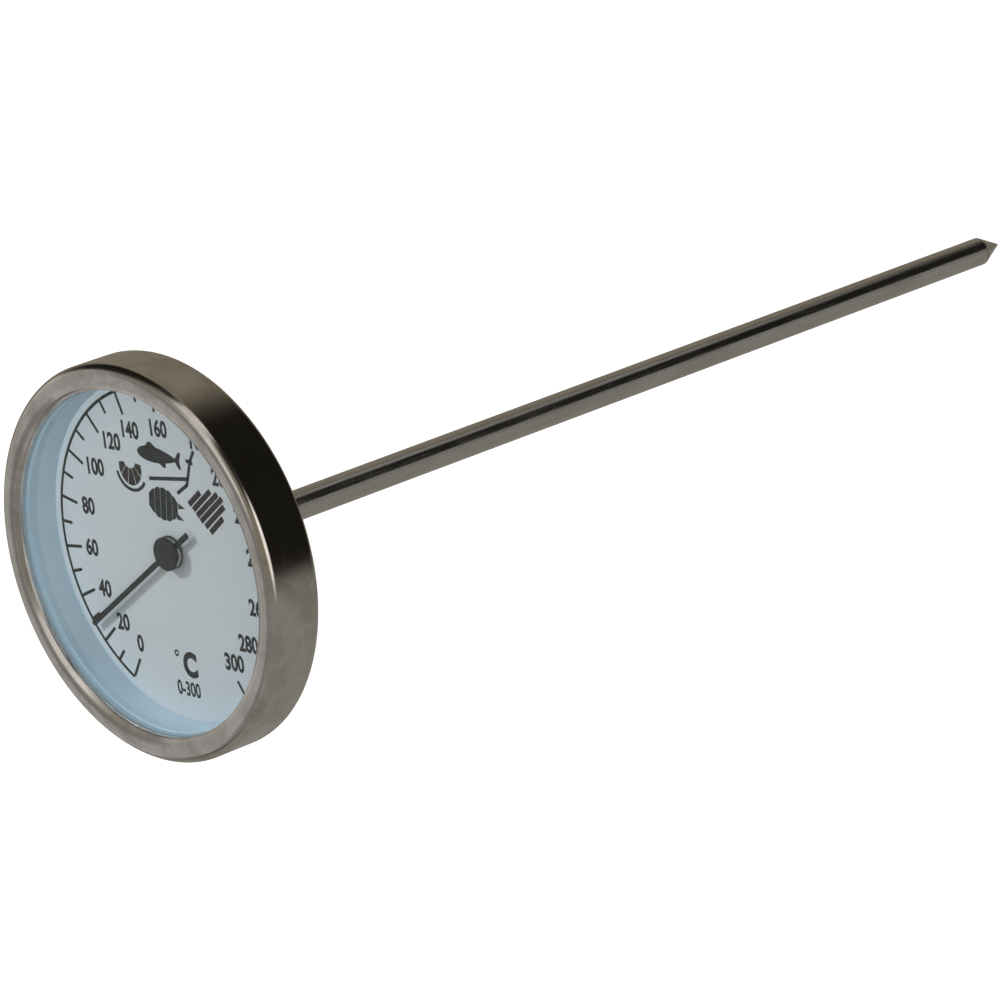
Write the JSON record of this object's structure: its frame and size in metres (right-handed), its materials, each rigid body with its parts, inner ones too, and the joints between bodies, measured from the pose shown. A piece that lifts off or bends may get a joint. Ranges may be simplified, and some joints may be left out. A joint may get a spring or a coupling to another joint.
{
  "type": "dial thermometer",
  "caption": "Bimetal dial thermometer: shallow round polished case with a glazed dial and a black pointer, on a long straight pointed stem square to the dial.",
  "frame": {"origin": "on the stem's axis, in the plane of the case's flat back", "axes": "+Y along the stem towards its point, -Y the way the dial faces, +Z towards 12 o'clock on the dial"},
  "size_m": [0.052, 0.1648, 0.052],
  "materials": {
    "case_steel": "polished stainless steel sheet",
    "stem_steel": "polished stainless steel tube",
    "spindle_steel": "drawn steel wire",
    "brass": "turned brass",
    "bimetal_strip": "rolled bimetal strip",
    "window_glass": "clear flat glass",
    "seal_rubber": "pale blue-grey silicone seal",
    "spacer_plastic": "pale blue-grey moulded ring",
    "dial_paint": "light grey satin paint with black print",
    "seal_fibre": "pale pressed washer",
    "pointer_black": "satin black paint"
  },
  "bodies": {
    "case": {"bezel_ring": "case_steel", "lens_gasket": "seal_rubber", "lens": "window_glass", "spacer_ring": "spacer_plastic", "dial_plate": "dial_paint", "case_cup": "case_steel", "stem_nut": "brass", "stem_washer": "seal_fibre", "stem_collar": "stem_steel", "stem_tube": "stem_steel", "stem_tip": "stem_steel", "top_bearing": "brass", "spindle_guide_1": "brass", "spindle_guide_2": "brass", "bimetal_helix": "bimetal_strip", "helix_anchor": "brass"},
    "pointer": {"spindle": "spindle_steel", "helix_ferrule": "brass", "pointer_boss": "pointer_black", "pointer_blade": "pointer_black", "pointer_bush": "pointer_black"}
  },
  "joints": [
    {"name": "pointer_turn", "type": "hinge", "parent": "case", "child": "pointer", "pos_m": [0, 0, 0], "axis": [0, 1, 0], "range_deg": [-24.1, 273.9], "stiffness_Nm_per_rad": 0.0002, "deforming": ["bimetal_helix"]}
  ]
}
